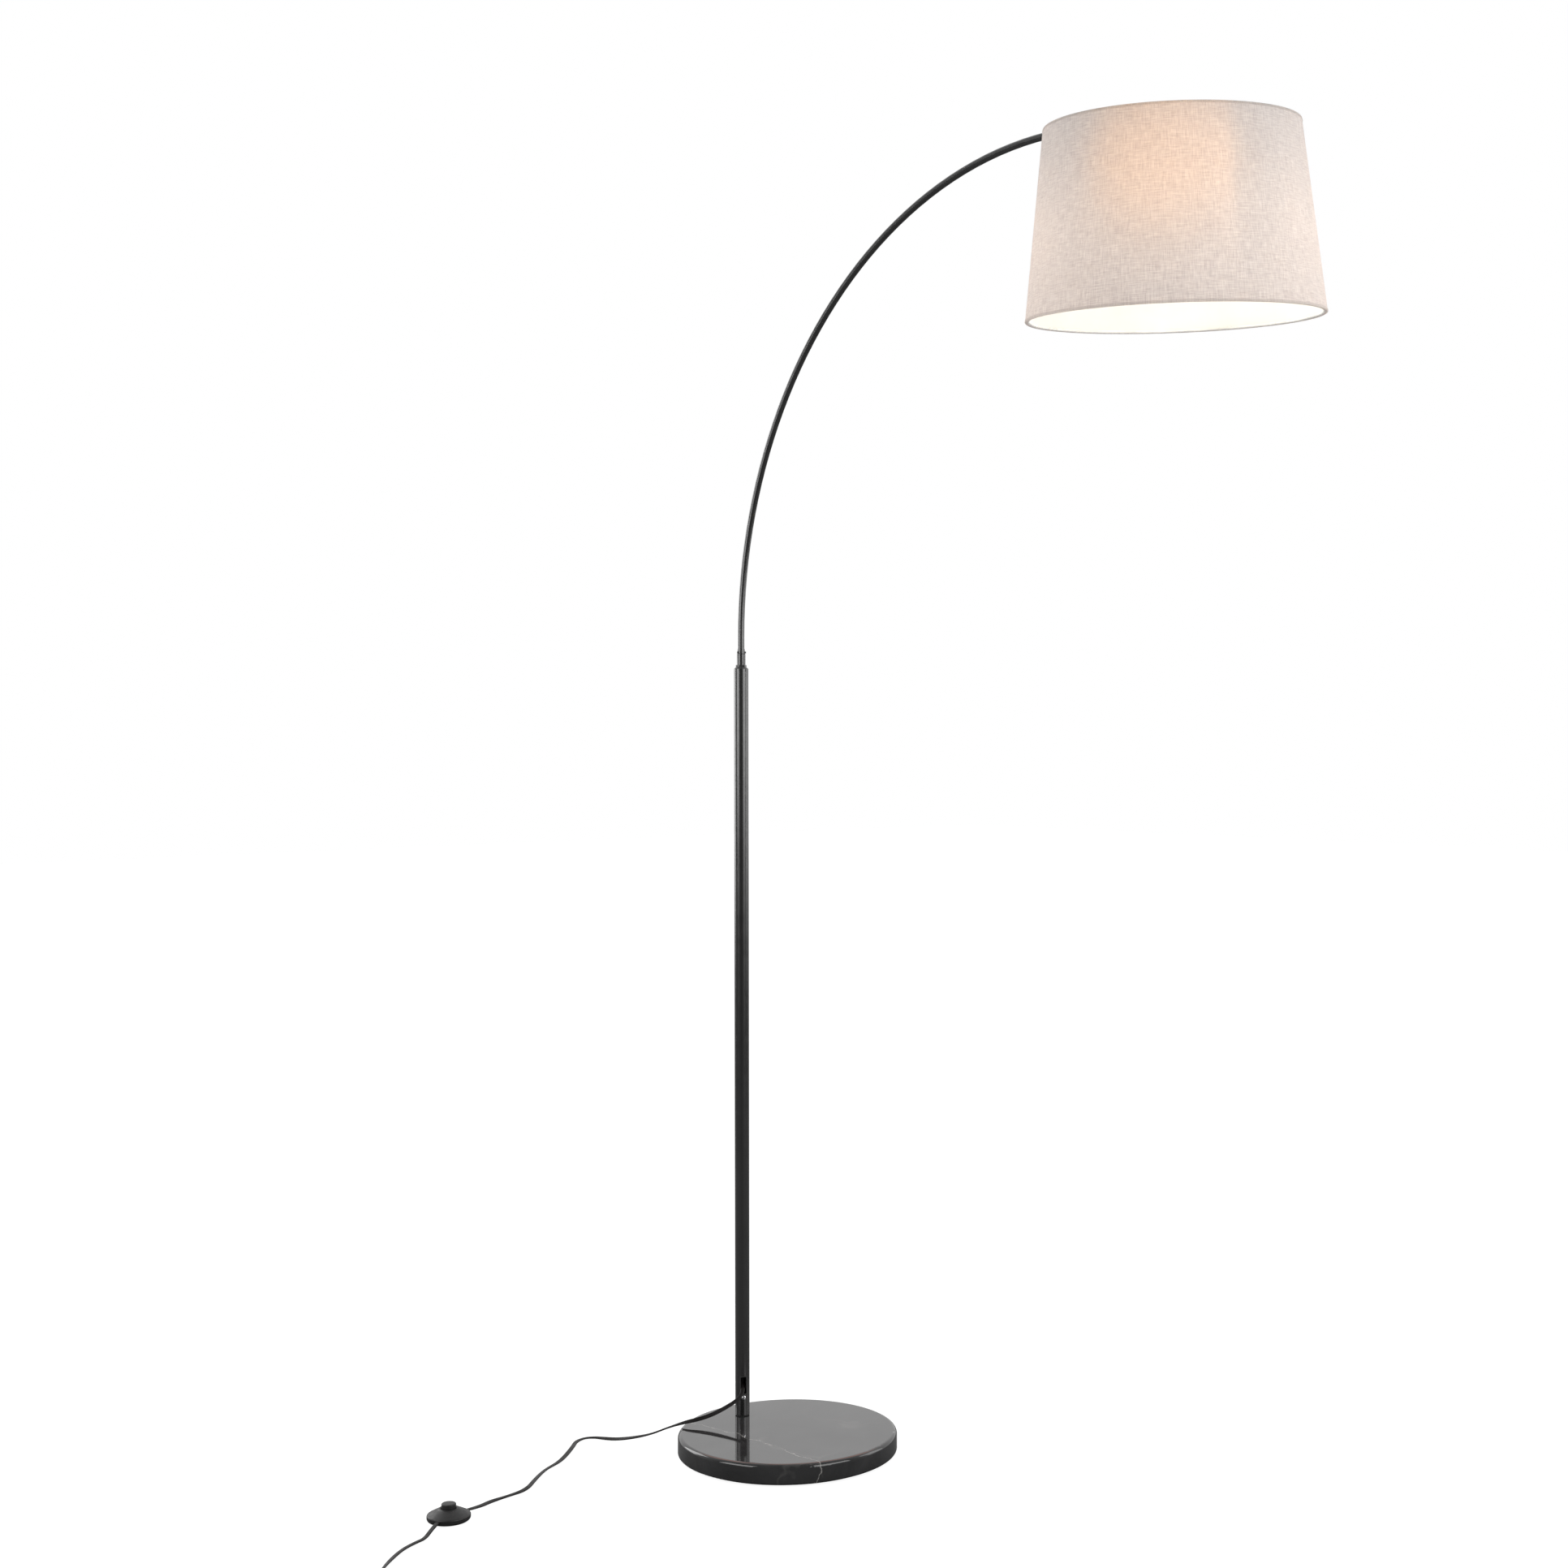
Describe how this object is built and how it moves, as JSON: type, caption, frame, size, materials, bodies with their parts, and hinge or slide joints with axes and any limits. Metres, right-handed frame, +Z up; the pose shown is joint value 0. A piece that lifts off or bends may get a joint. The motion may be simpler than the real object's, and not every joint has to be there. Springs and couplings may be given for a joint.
{
  "type": "arc floor lamp",
  "caption": "Arc floor lamp: round marble base, upright pole, curved arm, tapered fabric shade, foot switch on its cord.",
  "frame": {"origin": "centre of the marble base's underside, on the floor", "axes": "+Z up, +X from the pole towards the shade, +Y completes a right-handed frame"},
  "size_m": [1.0916, 0.9273, 1.7095],
  "materials": {
    "black_marble": "polished black with thin white veins",
    "black_felt": "felt pad",
    "zinc_steel": "zinc plated",
    "satin_black_metal": "satin black",
    "chrome_screw": "bright plated",
    "cast_steel": "machined",
    "black_rubber": "matte",
    "black_nylon": "moulded",
    "cord_pvc": "flexible flat twin cord, satin",
    "holder_plastic": "moulded",
    "holder_ceramic": "unglazed",
    "brass": "bright",
    "bulb_metal": "rolled thread",
    "bulb_plastic": "white heat-sink body",
    "bulb_glass": "frosted",
    "white_wire": "white enamel",
    "linen": "heathered pale grey linen",
    "white_liner": "smooth white sheet",
    "hem_tape": "rolled linen edge",
    "switch_plastic": "fine grained",
    "plug_plastic": "moulded"
  },
  "bodies": {
    "stand": {"marble_base": "black_marble", "base_felt": "black_felt", "base_washer": "zinc_steel", "base_bolt": "zinc_steel", "switch_screws": "zinc_steel", "switch_spring": "zinc_steel", "pole_tube": "satin_black_metal", "pole_top_cap": "satin_black_metal", "coupler_locknut": "satin_black_metal", "coupler_sleeve": "satin_black_metal", "coupler_set_screws": "satin_black_metal", "pole_lock_screw": "chrome_screw", "pole_foot_plug": "cast_steel", "pole_foot_gasket": "black_rubber", "slot_grommet": "black_nylon", "cord_tie": "black_nylon", "pole_wire": "cord_pvc", "cord_lamp_side": "cord_pvc", "cord_plug_side": "cord_pvc", "cord_coil": "cord_pvc", "cord_tail": "cord_pvc", "plug_blades": "brass", "switch_contacts": "brass", "switch_base": "switch_plastic", "switch_cover": "switch_plastic", "plug_strain_relief": "plug_plastic", "plug_body": "plug_plastic"},
    "arm": {"arm_tube": "satin_black_metal", "arm_wire": "cord_pvc", "swivel_upper": "satin_black_metal", "swivel_washer": "zinc_steel", "swivel_bolt": "zinc_steel", "swivel_nut": "zinc_steel"},
    "shade_head": {"swivel_lower": "satin_black_metal", "lampholder_cap": "holder_plastic", "lampholder_body": "holder_plastic", "lampholder_insulator": "holder_ceramic", "lampholder_contacts": "brass", "lampholder_shell": "brass", "shade_retaining_ring": "holder_plastic", "bulb_cap": "bulb_metal", "bulb_housing": "bulb_plastic", "bulb_globe": "bulb_glass", "shade_frame": "white_wire", "shade_bottom_ring": "white_wire", "shade_fabric": "linen", "shade_liner": "white_liner", "shade_top_hem": "hem_tape", "shade_bottom_hem": "hem_tape"},
    "switch_button": {"switch_button": "switch_plastic"}
  },
  "joints": [
    {"name": "arm_swivel", "type": "hinge", "parent": "stand", "child": "arm", "pos_m": [-0.0992, 0, 1.1], "axis": [0, 0, 1], "range_deg": [-90, 90]},
    {"name": "shade_tilt", "type": "hinge", "parent": "arm", "child": "shade_head", "pos_m": [0.68539, 0, 1.6708], "axis": [0.0221, 0.9973, 0.0703], "range_deg": [-40, 4]},
    {"name": "switch_press", "type": "slide", "parent": "stand", "child": "switch_button", "axis": [0, 0, -1], "range_m": [0, 0.003], "stiffness_N_per_m": 800, "springref_m": -0.002, "deforming": ["switch_spring"]}
  ]
}
